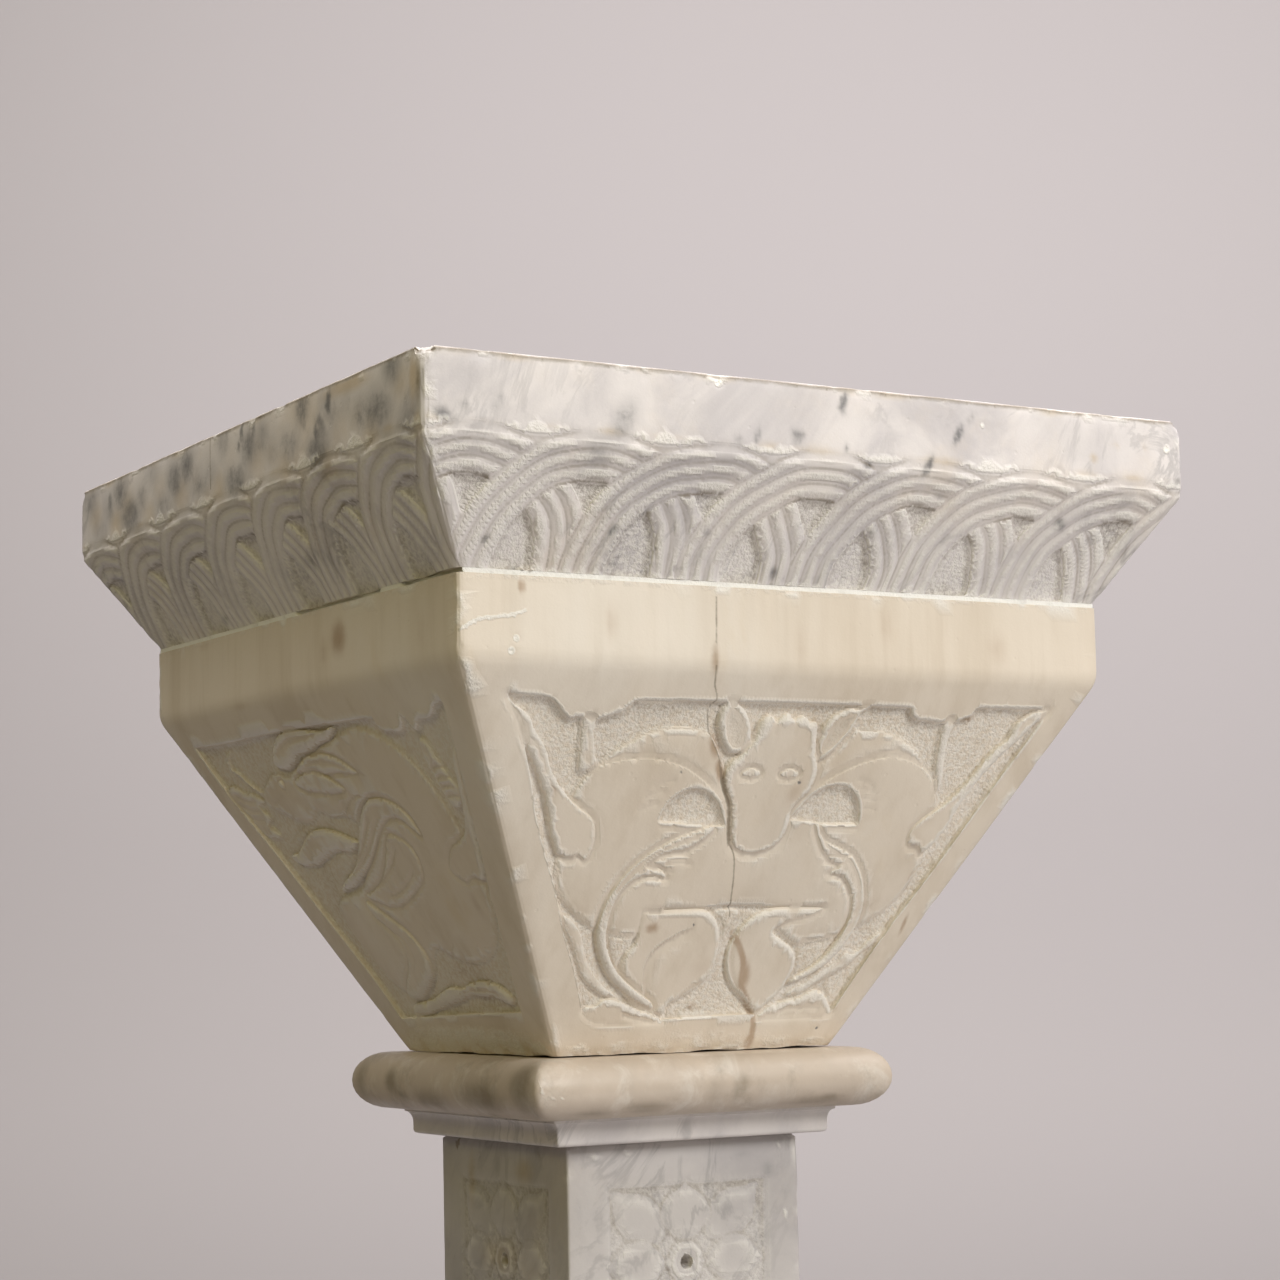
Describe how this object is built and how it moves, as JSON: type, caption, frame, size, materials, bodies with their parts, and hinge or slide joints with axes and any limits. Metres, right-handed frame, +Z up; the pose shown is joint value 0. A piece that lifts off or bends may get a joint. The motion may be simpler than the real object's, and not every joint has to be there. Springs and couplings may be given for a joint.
{
  "type": "pedestal column stand",
  "caption": "Carved marble pedestal column: square shaft with rosettes, beast-carved tapering capital, interlaced-arch abacus with a flat top, moulded collars and a square plinth.",
  "frame": {"origin": "on the floor, at the middle of the plinth's underside", "axes": "+Z up the column; -Y is the face carved with the two-bodied beast, and the four faces lie along X and Y"},
  "size_m": [0.38, 0.38, 1.0694],
  "materials": {
    "grey_marble": "satin",
    "cream_marble": "satin",
    "stained_marble": "satin",
    "plaster": "matte",
    "iron": "matte"
  },
  "bodies": {
    "root": {"plinth": "grey_marble", "base_torus": "stained_marble", "base_slab": "grey_marble", "shaft": "grey_marble", "necking": "grey_marble", "astragal": "stained_marble", "capital": "cream_marble", "mortar_bed": "plaster", "abacus": "grey_marble", "base_dowel": "iron", "base_dowel_grout_lower": "plaster", "base_dowel_grout_upper": "plaster", "neck_dowel": "iron", "neck_dowel_grout": "plaster", "top_dowel": "iron", "top_dowel_grout_lower": "plaster", "top_dowel_grout_upper": "plaster"}
  },
  "joints": []
}
